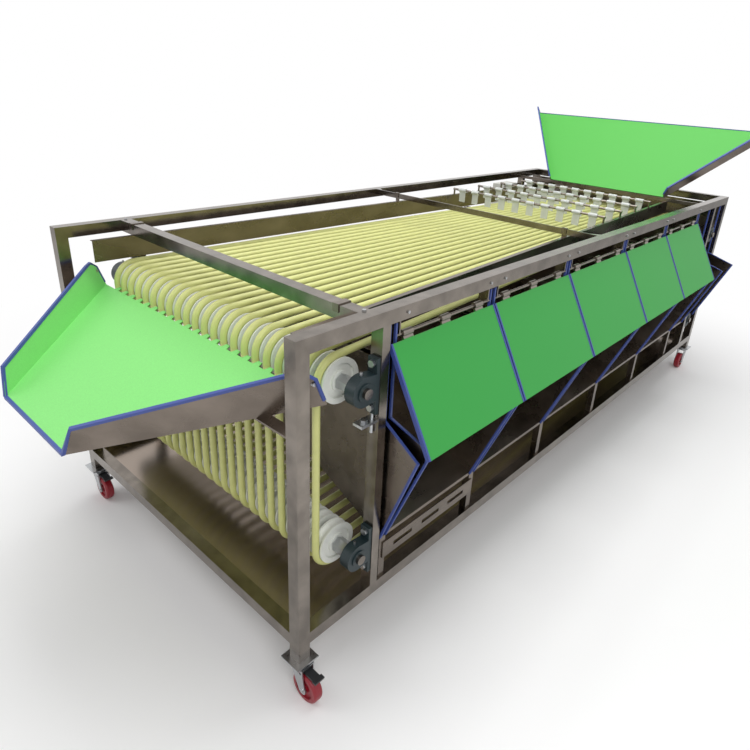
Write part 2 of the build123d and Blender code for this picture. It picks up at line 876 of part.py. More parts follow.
def under_hopper(x):
    """Height of the hopper's underside at x."""
    return hop_in_z + (x - hop_in_x) * tan(hop_pitch) - hop_t / cos(hop_pitch)


def under_tray(x):
    """Height of the tray's underside at x."""
    return tray_in_z + (x - tray_in_x) * tan(tray_pitch) - tray_t / cos(tray_pitch)


with BuildPart(base) as mount_brackets:
    with BuildSketch(along(inner_w)):
        with BuildLine():
            Polyline(
                (tray_rest_x - 15, under_tray(tray_rest_x - 15)),
                (tray_rest_x - 15, under_tray(tray_rest_x - 15) - stand_t),
                (tray_rest_x + 15, under_tray(tray_rest_x - 15) - stand_t),
                (tray_rest_x + 15, under_tray(tray_rest_x + 15)),
                close=True,
            )
        make_face()
    extrude(amount=2 * inner_w)
    post_x = half_l - tube / 2
    for side in (-1, 1):
        with BuildSketch(along(side * hop_post_y + hop_post_w / 2)):
            with BuildLine():
                Polyline(
                    (post_x - hop_post_w / 2, frame_height),
                    (post_x + hop_post_w / 2, frame_height),
                    (post_x + hop_post_w / 2, under_hopper(post_x + hop_post_w / 2)),
                    (post_x - hop_post_w / 2, under_hopper(post_x - hop_post_w / 2)),
                    close=True,
                )
            make_face()
        extrude(amount=hop_post_w)
    with Locations((hop_in_x - throat_bar_t / 2, 0, rail_under + throat_bar_h / 2)):
        Box(throat_bar_t, 2 * inner_w, throat_bar_h)
    with Locations((motor_x, (stand_in_y + half_w) / 2, stand_top - stand_t / 2)):
        Box(stand_w, half_w - stand_in_y, stand_t)
    with Locations((motor_x, tube_y, (stand_top + tube) / 2)):
        Box(stand_w, stand_t, stand_top - tube)
    for x in bay_x[:-1]:
        with BuildSketch(along(-tube_y + post_w / 2)):
            with BuildLine():
                Polyline(
                    (x - post_w / 2, tube),
                    (x + post_w / 2, tube),
                    (x + post_w / 2, lip_z - side_below - 1),
                    (x - post_w / 2, lip_z - side_below - 1),
                    close=True,
                )
            make_face()
        extrude(amount=post_w)
    with Locations(((bay_x[0] + bay_x[1]) / 2, -tube_y - post_w / 2 - 2.2, sum(slot_bar_z) / 2)):
        Box(bay_x[1] - bay_x[0], 4, slot_bar_z[1] - slot_bar_z[0])
    with Locations(*[((bay_x[0] + bay_x[1]) / 2 + d, -half_w, sum(slot_bar_z) / 2) for d in (-140, 0, 140)]):
        Box(90, 20, 14, mode=Mode.SUBTRACT)
mount_brackets.part.label = "mount_brackets"
export_step(mount_brackets.part, "parts/mount_brackets.step")

# Gear motor standing on its bracket, output shaft towards the chain
box_out_y = 555.0
box_h = 2 * (motor_z - stand_top)
motor_r = 62.0
motor_len = 220.0
output_r = 10.0
output_in = 30.0
with BuildPart(base) as gear_motor:
    with Locations((motor_x, (stand_in_y + box_out_y) / 2, motor_z)):
        Box(stand_w, box_out_y - stand_in_y, box_h)
    with Locations((motor_x, stand_in_y - motor_len / 2, motor_z)):
        Cylinder(motor_r, motor_len, rotation=(90, 0, 0))
    with Locations((motor_x, stand_in_y - motor_len - 12, motor_z)):
        Cylinder(motor_r - 6, 24, rotation=(90, 0, 0))
    with Locations((motor_x, stand_in_y - motor_len / 2, motor_z + motor_r + 8)):
        Box(80, 90, 40)
    with Locations((motor_x, box_out_y - output_in / 2, motor_z)):
        Cylinder(output_r + seat_clear, output_in, rotation=(90, 0, 0), mode=Mode.SUBTRACT)
gear_motor.part.label = "gear_motor"
export_step(gear_motor.part, "parts/gear_motor.step")

shaft_end = chain_y + 14.0
shaft_start = box_out_y - output_in + 0.5
with BuildPart(base) as motor_sprocket:
    with Locations((motor_x, (shaft_start + shaft_end) / 2, motor_z)):
        Cylinder(output_r, shaft_end - shaft_start, rotation=(90, 0, 0))
    with BuildSketch(along(chain_y + sprocket_t / 2)):
        with Locations((motor_x, motor_z)):
            Circle(sprocket_r)
            with PolarLocations(sprocket_r + 1, 24):
                Circle(4, mode=Mode.SUBTRACT)
    extrude(amount=sprocket_t)
motor_sprocket.part.label = "motor_sprocket"
export_step(motor_sprocket.part, "parts/motor_sprocket.step")


def drive_loop(grow):
    """Outline round both sprockets, grown by the given amount, as an upright face along the machine."""
    with BuildSketch(along(0)) as loop:
        with BuildLine():
            CenterArc((far_x, upper_z), drive_sprocket_r + grow, 0, 360)
            CenterArc((motor_x, motor_z), sprocket_r + grow, 0, 360)
        make_hull()
    return loop.sketch


# Chain: a band outside the teeth with side plates beside them
plate_gap = sprocket_t / 2 + 0.5
with BuildPart() as chain:
    for low, high, shrink in (
        (-chain_w / 2, chain_w / 2, 0.5),
        (-chain_w / 2, -plate_gap, -8.0),
        (plate_gap, chain_w / 2, -8.0),
    ):
        outer = extrude(drive_loop(3.5), amount=high - low, dir=(0, 1, 0), mode=Mode.PRIVATE)
        inner = extrude(drive_loop(shrink), amount=high - low, dir=(0, 1, 0), mode=Mode.PRIVATE)
        add((outer - inner).moved(Location((0, chain_y + low, 0))))
chain.part.label = "chain"
export_step(chain.part, "parts/chain.step")

# Sheet guard round the chain, with holes for the shafts
guard_grow = 14.0
case_half = 18.0
case_t = 1.5
with BuildPart() as chain_guard:
    shell = extrude(drive_loop(guard_grow), amount=2 * case_half, dir=(0, 1, 0), mode=Mode.PRIVATE)
    core = extrude(
        drive_loop(guard_grow - case_t), amount=2 * case_half - 2 * case_t, dir=(0, 1, 0), mode=Mode.PRIVATE
    )
    add(shell.moved(Location((0, chain_y - case_half, 0))))
    add(core.moved(Location((0, chain_y - case_half + case_t, 0))), mode=Mode.SUBTRACT)
    with BuildSketch(along(chain_y + 2 * case_half)):
        with Locations((far_x, upper_z)):
            Circle(shaft_r + 4)
        with Locations((motor_x, motor_z)):
            Circle(output_r + 4)
    extrude(amount=4 * case_half, mode=Mode.SUBTRACT)
with BuildPart(base) as guard_feet:
    foot_depth = inner_w - chain_y - case_half
    with Locations(*[(far_upright_x, chain_y + case_half + foot_depth / 2, z) for z in (600, 680)]):
        Box(tube / 2, foot_depth, tube / 2)
with BuildPart() as chain_guard_fitted:
    add(chain_guard.part)
    add(guard_feet.part)
chain_guard = chain_guard_fitted
chain_guard.part.label = "chain_guard"
export_step(chain_guard.part, "parts/chain_guard.step")

# Control box on the far side with its two push buttons and a cable gland
ctrl_x = 1345.0
ctrl_w = 180.0
ctrl_z = (600.0, 850.0)
ctrl_depth = 90.0
ctrl_t = 2.0
button_r = 11.0
button_out = 8.0
button_in = 12.0
button_dz = 45.0
gland_r = 11.0
ctrl_mid = sum(ctrl_z) / 2
ctrl_front = half_w + ctrl_depth
with BuildPart(base) as control_box:
    with Locations((ctrl_x, half_w + ctrl_depth / 2, ctrl_mid)):
        Box(ctrl_w, ctrl_depth, ctrl_z[1] - ctrl_z[0])
        Box(ctrl_w - 2 * ctrl_t, ctrl_depth - 2 * ctrl_t, ctrl_z[1] - ctrl_z[0] - 2 * ctrl_t, mode=Mode.SUBTRACT)
    with Locations(*[(ctrl_x, ctrl_front, ctrl_mid + d) for d in (-button_dz, button_dz)]):
        Cylinder(button_r + 5, 6, rotation=(90, 0, 0))
        Cylinder(button_r + rod_fit, 6 * ctrl_t, rotation=(90, 0, 0), mode=Mode.SUBTRACT)
    with Locations((ctrl_x, half_w + ctrl_depth / 2, ctrl_z[0] - 8)):
        Cylinder(gland_r, 20)
        Cylinder(gland_r - 5, 40, mode=Mode.SUBTRACT)
control_box.part.label = "control_box"
export_step(control_box.part, "parts/control_box.step")

for name, d in (("start_button", button_dz), ("stop_button", -button_dz)):
    with BuildPart(base) as button:
        with Locations((ctrl_x, ctrl_front + (button_out - button_in) / 2, ctrl_mid + d)):
            Cylinder(button_r, button_out + button_in, rotation=(90, 0, 0))
    button.part.label = name
    export_step(button.part, f"parts/{name}.step")

# Casters: top plates with their pins, swivel forks, wheels, and brake pedals on the near pair
foot_z = -leg_stub
plate_side = 76.0
plate_h = 5.0
disc_r = 28.0
disc_h = 12.0
disc_top = foot_z - plate_h - 0.5
disc_low = disc_top - disc_h
nut_r = 9.0
nut_h = 5.0
with BuildPart(base) as caster_plates:
    with Locations(*[(x, y, foot_z - plate_h / 2) for x, y in corner_points]):
        Box(plate_side, plate_side, plate_h)
    pin_low = disc_low - 1 - nut_h
    with Locations(*[(x, y, (foot_z - plate_h + pin_low) / 2) for x, y in corner_points]):
        Cylinder(swivel_pin_r, foot_z - plate_h - pin_low)
    with Locations(*[(x, y, pin_low + nut_h / 2) for x, y in corner_points]):
        Cylinder(nut_r, nut_h)
caster_plates.part.label = "caster_plates"
export_step(caster_plates.part, "parts/caster_plates.step")

wheel_z = wheel_r - rail_z
arm_in = wheel_w / 2 + 2.5
arm_out = arm_in + fork_arm_t
pedal_x = 27.0
pedal_z = disc_low - 13.0
pedal_pin_r = 4.0
pedal_len = 52.0
pedal_t = 6.0
pedal_w = 26.0

# One fork, wheel and pedal drawn with the trail along +X and the swivel axis through the origin
with BuildPart() as fork:
    with Locations((0, 0, (disc_top + disc_low) / 2)):
        Cylinder(disc_r, disc_h)
    for side in (-1, 1):
        with BuildSketch(Plane(origin=(0, side * (arm_in + fork_arm_t / 2) + fork_arm_t / 2, 0),
                               x_dir=(1, 0, 0), z_dir=(0, -1, 0))):
            with BuildLine():
                Polyline(
                    (-14, disc_low + 1),
                    (-14, disc_low - 8),
                    (caster_trail - 14, wheel_z - 4),
                    (caster_trail + 14, wheel_z - 4),
                    (pedal_x + 9, pedal_z - 6),
                    (pedal_x + 9, disc_low),
                    (18, disc_low + 1),
                    close=True,
                )
            make_face()
            with Locations((caster_trail, wheel_z)):
                Circle(15)
        extrude(amount=fork_arm_t)
    with Locations((4, 0, disc_low + 1.5)):
        Box(64, 2 * arm_out, 3)
    with Locations((caster_trail, 0, wheel_z)):
        Cylinder(axle_r, 2 * arm_out + 6, rotation=(90, 0, 0))
    Cylinder(swivel_pin_r + rod_fit, 4 * disc_h - 4 * foot_z, mode=Mode.SUBTRACT)
    with Locations((pedal_x, 0, pedal_z)):
        Cylinder(pedal_pin_r + rod_fit, 4 * arm_out, rotation=(90, 0, 0), mode=Mode.SUBTRACT)

with BuildPart() as wheel:
    with BuildSketch(Plane.XY):
        bore = axle_r + rod_fit
        with Locations(((bore + wheel_r) / 2, 0)):
            Rectangle(wheel_r - bore, wheel_w)
        fillet([v for v in vertices() if v.X > wheel_r / 2], 8)
        with Locations(*[((16 + 34) / 2, s * wheel_w / 2) for s in (-1, 1)]):
            Rectangle(34 - 16, 12, mode=Mode.SUBTRACT)
    revolve(axis=Axis.Y)

with BuildPart() as pedal:
    with Locations((pedal_x, 0, pedal_z)):
        Cylinder(pedal_pin_r, 2 * arm_out, rotation=(90, 0, 0))
        Cylinder(pedal_pin_r + 2.5, pedal_w, rotation=(90, 0, 0))
    with Locations((pedal_x + pedal_len / 2, 0, pedal_z)):
        Box(pedal_len, pedal_w, pedal_t)
    with Locations((pedal_x + pedal_len, 0, pedal_z + pedal_t / 2)):
        Box(14, pedal_w + 8, pedal_t)

caster_turns = (("near_left", -1, 1, 270), ("near_right", -1, -1, 270),
                ("far_left", 1, 1, 180), ("far_right", 1, -1, 180))
for name, sx, sy, turn in caster_turns:
    foot = base.location * Location((sx * (half_l - tube / 2), sy * tube_y, 0), (0, 0, turn))
    seat = foot * Location((caster_trail, 0, wheel_z))
    with BuildPart() as caster_fork:
        with Locations(foot):
            add(fork.part)
    caster_fork.part.label = f"fork_{name}"
    export_step(caster_fork.part, f"parts/fork_{name}.step")
    with BuildPart() as caster_wheel:
        with Locations(seat):
            add(wheel.part)
    caster_wheel.part.label = f"wheel_{name}"
    export_step(caster_wheel.part, f"parts/wheel_{name}.step")
    if sx < 0:
        with BuildPart() as caster_pedal:
            with Locations(foot):
                add(pedal.part)
        caster_pedal.part.label = f"pedal_{name}"
        export_step(caster_pedal.part, f"parts/pedal_{name}.step")
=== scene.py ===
"""Looks of the fruit grading machine: materials, edge trims, small fittings and the studio."""
from math import cos, pi, radians, sin

import bmesh
import bpy
from mathutils import Matrix, Vector


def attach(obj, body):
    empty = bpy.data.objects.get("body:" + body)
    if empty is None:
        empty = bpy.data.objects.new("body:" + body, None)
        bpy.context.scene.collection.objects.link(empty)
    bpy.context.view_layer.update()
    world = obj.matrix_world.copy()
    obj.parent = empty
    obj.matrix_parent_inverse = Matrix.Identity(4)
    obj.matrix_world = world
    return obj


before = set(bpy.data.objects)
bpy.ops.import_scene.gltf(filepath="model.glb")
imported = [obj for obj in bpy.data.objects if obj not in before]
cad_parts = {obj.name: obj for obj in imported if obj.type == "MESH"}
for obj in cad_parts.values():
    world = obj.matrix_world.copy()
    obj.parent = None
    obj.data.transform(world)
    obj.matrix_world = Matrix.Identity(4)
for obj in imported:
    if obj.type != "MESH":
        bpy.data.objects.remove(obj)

bl_info = {
    "name": "Fruit grading machine looks",
    "version": (1, 0, 0),
    "blender": (4, 5, 0),
    "location": "3D View > Sidebar > Grader",
    "description": "Materials, trims, fittings and studio for the fruit grading machine",
    "category": "Object",
}

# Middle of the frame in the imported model, and the underside of the bottom rails, in mm
MID_X, MID_Y, RAIL_Z = 107.27, 17.78, 190.0

# Chutes, in mm: middles of the side walls, half a wall, the end plate, and the outer edge as y and z,
# whose tip is cut back on the first edge
BAYS = (-1340.0, -872.0, -362.0, 172.0, 672.0, 1180.0, 1400.0)
WALL_HALF = 12.0
END_PLATE = 1601.0
WALL_TOP, WALL_BEND = (-642.0, 890.0), (-642.0, 605.0)
WALL_TIP, FIRST_TIP = (-794.2, 560.0), (-770.2, 526.0)
WALL_FOOT = (-650.0, 197.0)

# Flaps, in mm: hinge as y and z, space beside a wall's middle, where each trim starts and ends, and how
# far it stands out sideways. Only the height of the trim's section is in metres
FLAPS = 5
HINGE = (-640.0, 852.0)
FLAP_TILT = radians(29.0)
FLAP_SIDE = 8.0
FLAP_TRIM_RUN = (17.0, 342.0)
FLAP_TRIM_OUT = 1.5
FLAP_TRIM_HIGH = 0.0135
KNUCKLE_DROP = 13.0

# Tray and hopper, in mm: start of the floor, its direction, its length, and half its width at either end
TRAY = (Vector((-1535.0, 0.0, 712.0)), Vector((-0.9680, 0.0, -0.2509)), 506.2, 605.0, 193.0)
HOPPER = (Vector((1374.0, 0.0, 919.0)), Vector((0.7438, 0.0, 0.6685)), 584.9, 376.0, 773.0)
# Their rims, in mm: distance along the floor and height above it, and how far the lip's trim is set in.
# The rim trims are wider than the others by the last value, in metres
TRAY_RIM = ((3, 14), (10, 82), (30, 108), (50, 109), (468, 72), (503, 1))
HOPPER_RIM = ((1, 28), (23, 58), (579, 58), (583, 2))
LIP_INSET = 3
RIM_EXTRA = 0.002

# Shafts, collars and screws: places in mm, the collars' length in metres, and sizes of the screws as
# radius and height in metres
SHAFT_X = {"near": -1447, "far": 1510}
SHAFT_Z = {"upper": 731, "lower": 183}
COLLAR_Y, COLLAR_LENGTH = 566, 0.046
GREASE_Y, GREASE_UP, GREASE_SIZE = 637, 42, (0.004, 0.01)
TRAY_BOLT, TRAY_BOLT_SIZE = (-1568, 586, 775), (0.006, 0.012)
CORNER_BOLT, CORNER_BOLT_SIZE = (-1425, 618, 925), (0.006, 0.018)
HANGER_IN, HANGER_Y, HANGER_Z, HANGER_SIZE = 40, -657.5, 918, (0.005, 0.004)

# Camera, solved from the straight edges of the frame: image side, focal length and centre in pixels, and
# the sensor's width in mm
IMAGE = 750
FOCAL = 599.08
CENTRE = (395.10, 345.73)
SENSOR = 36.0
# Lamps: name, place and size in metres, and power in watts
LAMPS = (
    ("key", (-3.5, -4.5, 5.0), 3.0, 150),
    ("fill", (-4.5, 3.5, 4.0), 3.5, 70),
    ("top", (0.5, 0.0, 5.5), 4.0, 190),
)
LAMP_AIM = Vector((0, 0, 0.7))
ALONG, ACROSS, UP = Vector((1, 0, 0)), Vector((0, 1, 0)), Vector((0, 0, 1))


def place(x, y, z):
    """Point of the frame's own millimetres in the scene, in metres."""
    return Vector(((MID_X + x) / 1000, (MID_Y + y) / 1000, (RAIL_Z + z) / 1000))


def on_slope(scoop, along, half, height):
    """Point of the tray or hopper from its slope: distance along it, across it and above its floor."""
    start, run, length, near, far = scoop
    up = Vector((-run.z, 0, run.x)) if run.x > 0 else Vector((run.z, 0, -run.x))
    at = start + run * along + up * height
    return place(at.x, half * (near + (far - near) * along / length), at.z)


def linear(text):
    """Linear colour from the hex form of an sRGB one."""
    parts = [int(text[i:i + 2], 16) / 255 for i in (1, 3, 5)]
    return tuple(c / 12.92 if c <= 0.04045 else ((c + 0.055) / 1.055) ** 2.4 for c in parts) + (1.0,)


def finish(name, colour, metallic=0.0, rough=0.5, spread=0.08, size_mm=40.0, stretch=(1, 1, 1),
           bump=0.0, ior=1.5, shade=0.0, see=0.0):
    """Material with slow changes of roughness and tone and a fine bump; see is how clear it is."""
    mat = bpy.data.materials.new(name)
    mat.use_nodes = True
    tree = mat.node_tree
    shader = tree.nodes["Principled BSDF"]
    shader.inputs["Base Color"].default_value = colour
    shader.inputs["Metallic"].default_value = metallic
    if metallic < 0.5:
        shader.inputs["IOR"].default_value = ior
    shader.inputs["Transmission Weight"].default_value = see
    where = tree.nodes.new("ShaderNodeTexCoord")
    scale = tree.nodes.new("ShaderNodeMapping")
    scale.inputs["Scale"].default_value = stretch
    noise = tree.nodes.new("ShaderNodeTexNoise")
    noise.inputs["Scale"].default_value = 1000.0 / size_mm
    noise.inputs["Detail"].default_value = 4.0
    tree.links.new(where.outputs["Object"], scale.inputs["Vector"])
    tree.links.new(scale.outputs["Vector"], noise.inputs["Vector"])
    span = tree.nodes.new("ShaderNodeMapRange")
    span.inputs["To Min"].default_value = max(0.02, rough - spread)
    span.inputs["To Max"].default_value = min(1.0, rough + spread)
    tree.links.new(noise.outputs["Fac"], span.inputs["Value"])
    tree.links.new(span.outputs["Result"], shader.inputs["Roughness"])
    if shade > 0:
        ramp = tree.nodes.new("ShaderNodeValToRGB")
        dark, light = ramp.color_ramp.elements
        dark.position, light.position = 0.3, 0.7
        dark.color = tuple(c * (1 - shade) for c in colour[:3]) + (1.0,)
        light.color = colour
        tree.links.new(noise.outputs["Fac"], ramp.inputs["Fac"])
        tree.links.new(ramp.outputs["Color"], shader.inputs["Base Color"])
    if bump > 0:
        rise = tree.nodes.new("ShaderNodeBump")
        rise.inputs["Strength"].default_value = bump
        rise.inputs["Distance"].default_value = 0.0005
        tree.links.new(noise.outputs["Fac"], rise.inputs["Height"])
        tree.links.new(rise.outputs["Normal"], shader.inputs["Normal"])
    return mat


def blend(tree, share, second):
    """Shows a second shader instead of the material's own one where share is 1."""
    mix = tree.nodes.new("ShaderNodeMixShader")
    tree.links.new(share, mix.inputs["Fac"])
    tree.links.new(tree.nodes["Principled BSDF"].outputs["BSDF"], mix.inputs[1])
    tree.links.new(second, mix.inputs[2])
    tree.links.new(mix.outputs["Shader"], tree.nodes["Material Output"].inputs["Surface"])


def steel_knuckles(mat):
    """Turns the flap material to steel above the panel's top edge, where the knuckles are."""
    tree = mat.node_tree
    where = next(n for n in tree.nodes if n.type == "TEX_COORD")
    split = tree.nodes.new("ShaderNodeSeparateXYZ")
    above = tree.nodes.new("ShaderNodeMath")
    above.operation = "GREATER_THAN"
    above.inputs[1].default_value = (RAIL_Z + HINGE[1] - KNUCKLE_DROP) / 1000
    metal = tree.nodes.new("ShaderNodeBsdfPrincipled")
    metal.inputs["Base Color"].default_value = linear("#8F8880")
    metal.inputs["Metallic"].default_value = 1.0
    metal.inputs["Roughness"].default_value = 0.35
    tree.links.new(where.outputs["Object"], split.inputs["Vector"])
    tree.links.new(split.outputs["Z"], above.inputs[0])
    blend(tree, above.outputs["Value"], metal.outputs["BSDF"])


def sweep(bm, points, wide, high, across, sides=4):
    """Closed bar of the given section along points, its width laid along the direction across."""
    loops = []
    radius = 0.5 / cos(pi / sides) if sides == 4 else 0.5
    for i, here in enumerate(points):
        ahead = points[min(i + 1, len(points) - 1)] - points[max(i - 1, 0)]
        ahead.normalize()
        side = (across - ahead * across.dot(ahead)).normalized()
        turn = Matrix((side, ahead.cross(side), ahead)).transposed().to_4x4()
        turn.translation = here
        flat = Matrix.Diagonal((wide, high, 1.0, 1.0)) @ Matrix.Rotation(pi / sides, 4, "Z")
        ring = bmesh.ops.create_circle(
            bm, cap_ends=False, segments=sides, radius=radius, matrix=turn @ flat
        )
        loops.append(list({e for v in ring["verts"] for e in v.link_edges}))
    for a, b in zip(loops[:-1], loops[1:]):
        bmesh.ops.bridge_loops(bm, edges=a + b)
    for end in (loops[0], loops[-1]):
        bmesh.ops.edgeloop_fill(bm, edges=end)


def hexagon(bm, at, axis, radius, height):
    """Bolt head, nut or collar standing at a point along an axis."""
    across = UP if abs(axis.z) < 0.9 else ALONG
    sweep(bm, [at, at + axis * height], 2 * radius, 2 * radius, across, 6)


def object_from(bm, name, mat, body):
    """Finished mesh object riding on a body."""
    bmesh.ops.recalc_face_normals(bm, faces=bm.faces)
    mesh = bpy.data.meshes.new(name)
    bm.to_mesh(mesh)
    bm.free()
    mesh.materials.append(mat)
    obj = bpy.data.objects.new(name, mesh)
    bpy.context.scene.collection.objects.link(obj)
    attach(obj, body)
    return obj


def add_floor(scene):
    """Pale floor that turns into the white backdrop for the camera, away from the machine."""
    bm = bmesh.new()
    bmesh.ops.create_grid(bm, x_segments=1, y_segments=1, size=30.0)
    mesh = bpy.data.meshes.new("floor")
    bm.to_mesh(mesh)
    bm.free()
    floor = bpy.data.objects.new("floor", mesh)
    scene.collection.objects.link(floor)
    mat = bpy.data.materials.new("pale floor")
    mat.use_nodes = True
    mesh.materials.append(mat)
    tree = mat.node_tree
    shader = tree.nodes["Principled BSDF"]
    shader.inputs["Base Color"].default_value = linear("#F4F4F4")
    shader.inputs["Roughness"].default_value = 0.9
    where = tree.nodes.new("ShaderNodeTexCoord")
    far = tree.nodes.new("ShaderNodeVectorMath")
    far.operation = "LENGTH"
    fade = tree.nodes.new("ShaderNodeMapRange")
    fade.inputs["From Min"].default_value = 1.6
    fade.inputs["From Max"].default_value = 3.4
    fade.interpolation_type = "SMOOTHSTEP"
    glow = tree.nodes.new("ShaderNodeEmission")
    glow.inputs["Strength"].default_value = 1.0
    ray = tree.nodes.new("ShaderNodeLightPath")
    seen = tree.nodes.new("ShaderNodeMath")
    seen.operation = "MULTIPLY"
    tree.links.new(where.outputs["Object"], far.inputs[0])
    tree.links.new(far.outputs["Value"], fade.inputs["Value"])
    tree.links.new(fade.outputs["Result"], seen.inputs[0])
    tree.links.new(ray.outputs["Is Camera Ray"], seen.inputs[1])
    blend(tree, seen.outputs["Value"], glow.outputs["Emission"])


def add_world(scene):
    """White surroundings, full for the camera, mirrors and clear plastic and dimmer as light."""
    world = bpy.data.worlds.new("studio")
    world.use_nodes = True
    scene.world = world
    tree = world.node_tree
    back = tree.nodes["Background"]
    back.inputs["Color"].default_value = (1, 1, 1, 1)
    path = tree.nodes.new("ShaderNodeLightPath")
    power = tree.nodes.new("ShaderNodeMapRange")
    power.inputs["To Min"].default_value = 0.42
    power.inputs["To Max"].default_value = 1.0
    straight = tree.nodes.new("ShaderNodeMath")
    straight.operation = "MAXIMUM"
    through = tree.nodes.new("ShaderNodeMath")
    through.operation = "MAXIMUM"
    tree.links.new(path.outputs["Is Camera Ray"], straight.inputs[0])
    tree.links.new(path.outputs["Is Glossy Ray"], straight.inputs[1])
    tree.links.new(straight.outputs["Value"], through.inputs[0])
    tree.links.new(path.outputs["Is Transmission Ray"], through.inputs[1])
    tree.links.new(through.outputs["Value"], power.inputs["Value"])
    tree.links.new(power.outputs["Result"], back.inputs["Strength"])


def add_lamps(scene):
    """Soft lamps aimed at the middle of the machine."""
    for name, at, size, watts in LAMPS:
        lamp = bpy.data.lights.new(name, "AREA")
        lamp.size = size
        lamp.energy = watts
        obj = bpy.data.objects.new(name, lamp)
        obj.location = at
        obj.rotation_euler = (LAMP_AIM - Vector(at)).to_track_quat("-Z", "Y").to_euler()
        scene.collection.objects.link(obj)


def add_camera(scene):
    """Camera at the photograph's angle."""
    cam = bpy.data.cameras.new("camera")
    cam.sensor_width = SENSOR
    cam.lens = FOCAL / IMAGE * SENSOR
    cam.shift_x = (IMAGE / 2 - CENTRE[0]) / IMAGE
    cam.shift_y = (CENTRE[1] - IMAGE / 2) / IMAGE
    cam.clip_end = 100.0
    obj = bpy.data.objects.new("camera", cam)
    right = Vector((0.66602, -0.74375, 0.05704))
    down = Vector((-0.26623, -0.30845, -0.91322))
    ahead = Vector((0.69680, 0.59304, -0.40345))
    turn = Matrix((right, -down, -ahead)).transposed().to_4x4()
    turn.translation = place(-2430.0, -1580.9, 1462.9)
    obj.matrix_world = turn
    scene.collection.objects.link(obj)
    scene.camera = obj
    scene.view_settings.view_transform = "Standard"


def colour_setting(name, description, text):
    """Colour that a user can change in the panel."""
    return bpy.props.FloatVectorProperty(
        name=name, description=description, subtype="COLOR", size=4, min=0.0, max=1.0, default=linear(text)
    )


class GraderColours(bpy.types.PropertyGroup):
    """Colours of the lined and trimmed pieces."""
    # The three greens are one lining: its green is its own, the lighter lining green is painted light from
    # above, the darker flap green is painted shade, and the hopper green lies between them
    flap: colour_setting("Flap green in painted shade", "Colour of the flap faces", "#2E9A3E")
    lining: colour_setting("Lining green in painted light", "Colour of the tray lining", "#84DA78")
    hopper: colour_setting("Hopper green", "Colour of the hopper lining and the deflector", "#4FB344")
    trim: colour_setting("Trim blue", "Colour of the edge trims", "#3D4F96")


class GraderSizes(bpy.types.PropertyGroup):
    """Sizes of the added pieces."""
    trim: bpy.props.FloatProperty(
        name="Trim width", description="Width of the edge trims", default=0.007, unit="LENGTH"
    )
    shaft_hex: bpy.props.FloatProperty(
        name="Collar", description="Radius of the hex collars on the shafts", default=0.024, unit="LENGTH"
    )


class GRADER_OT_materials(bpy.types.Operator):
    """Gives every node of the model its material"""
    bl_idname = "grader.materials"
    bl_label = "Materials"

    def execute(self, context):
        colours = context.scene.grader_colours
        # Polished stainless tube, bright rolled sheet and smaller steel pieces
        tube = finish("stainless tube", linear("#8E867E"), 1.0, 0.2, 0.07, 60, bump=0.05, shade=0.35)
        sheet = finish("stainless sheet", linear("#857B72"), 1.0, 0.28, 0.1, 90, stretch=(0.5, 1, 1),
                       bump=0.08, shade=0.35)
        deck = finish("stainless deck", linear("#A5988D"), 1.0, 0.24, 0.06, 300, shade=0.15)
        zinc = finish("zinc plated steel", linear("#B4B6B8"), 1.0, 0.3, 0.08, 12, bump=0.05)
        iron = finish("painted cast iron", linear("#1B2B2F"), 0.0, 0.45, 0.1, 6, bump=0.35)
        oiled = finish("oiled steel", linear("#57534F"), 1.0, 0.4)
        # Round urethane belt, nylon pulleys and clear tags
        cord = finish("urethane cord", linear("#D3D58A"), 0.0, 0.42, 0.06, 30, shade=0.08)
        nylon = finish("white nylon", linear("#E4E6DF"), 0.0, 0.4, 0.05, 8, ior=1.53, shade=0.04)
        clear = finish("clear tag plastic", linear("#E6EAE8"), 0.0, 0.18, 0.04, 20, ior=1.49, see=0.35)
        # Soft lining sheet in green on the tray, hopper and flaps, one material in lit and shaded copies:
        # the green is its own, the lighter tray tone is painted light from above and the darker flap tone
        # is painted shade
        lining = finish("tray lining in painted light", colours.lining, 0.0, 0.55, 0.06, 3, bump=0.12, shade=0.12)
        hopper = finish("hopper lining", colours.hopper, 0.0, 0.55, 0.06, 3, bump=0.12, shade=0.05)
        flap = finish("flap lining in painted shade", colours.flap, 0.0, 0.5, 0.06, 3, bump=0.12, shade=0.04)
        steel_knuckles(flap)
        # Wheels, pedals, drive and controls
        red = finish("red wheel tread", linear("#8A1424"), 0.0, 0.35, 0.06, 8)
        black = finish("black pedal", linear("#15161A"), 0.0, 0.45, 0.06, 5, bump=0.1)
        paint = finish("grey paint", linear("#5A6166"), 0.0, 0.4, 0.05, 10)
        powder = finish("box powder coat", linear("#C9C8C0"), 0.0, 0.5, 0.06, 2, bump=0.1)
        go = finish("start button", linear("#1E8A3A"), 0.0, 0.25)
        halt = finish("stop button", linear("#B81A1A"), 0.0, 0.25)
        # The first beginning that fits a node's name gives its material, and the rest is sheet
        rules = (
            ("flap_hinge_rods", tube), ("flap_", flap), ("tag_row", clear), ("fork_", zinc),
            ("wheel_", red), ("pedal_", black), ("caster_plates", zinc), ("bearing_bolts", zinc),
            ("bearing_housings", iron), ("cord_", cord), ("deck_plate", deck), ("tray_lining", lining),
            ("hopper_lining", hopper), ("deflector", hopper), ("control_box", powder),
            ("start_button", go), ("stop_button", halt), ("gear_motor", paint), ("chain_guard", sheet),
            ("chain", oiled), ("motor_sprocket", oiled), ("corner_legs", tube), ("top_rails", tube),
            ("bottom_rails", tube), ("mid_uprights", tube), ("cross_tubes", tube), ("mid_bar", tube),
            ("spreader_rods", tube),
        )
        for name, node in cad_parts.items():
            mat = nylon if name.endswith("_pulleys") else tube if name.endswith("_shaft") else sheet
            mat = next((chosen for start, chosen in rules if name.startswith(start)), mat)
            node.data.materials.clear()
            node.data.materials.append(mat)
        finish("blue trim", colours.trim, 0.0, 0.45, 0.05, 4, shade=0.1)
        return {"FINISHED"}


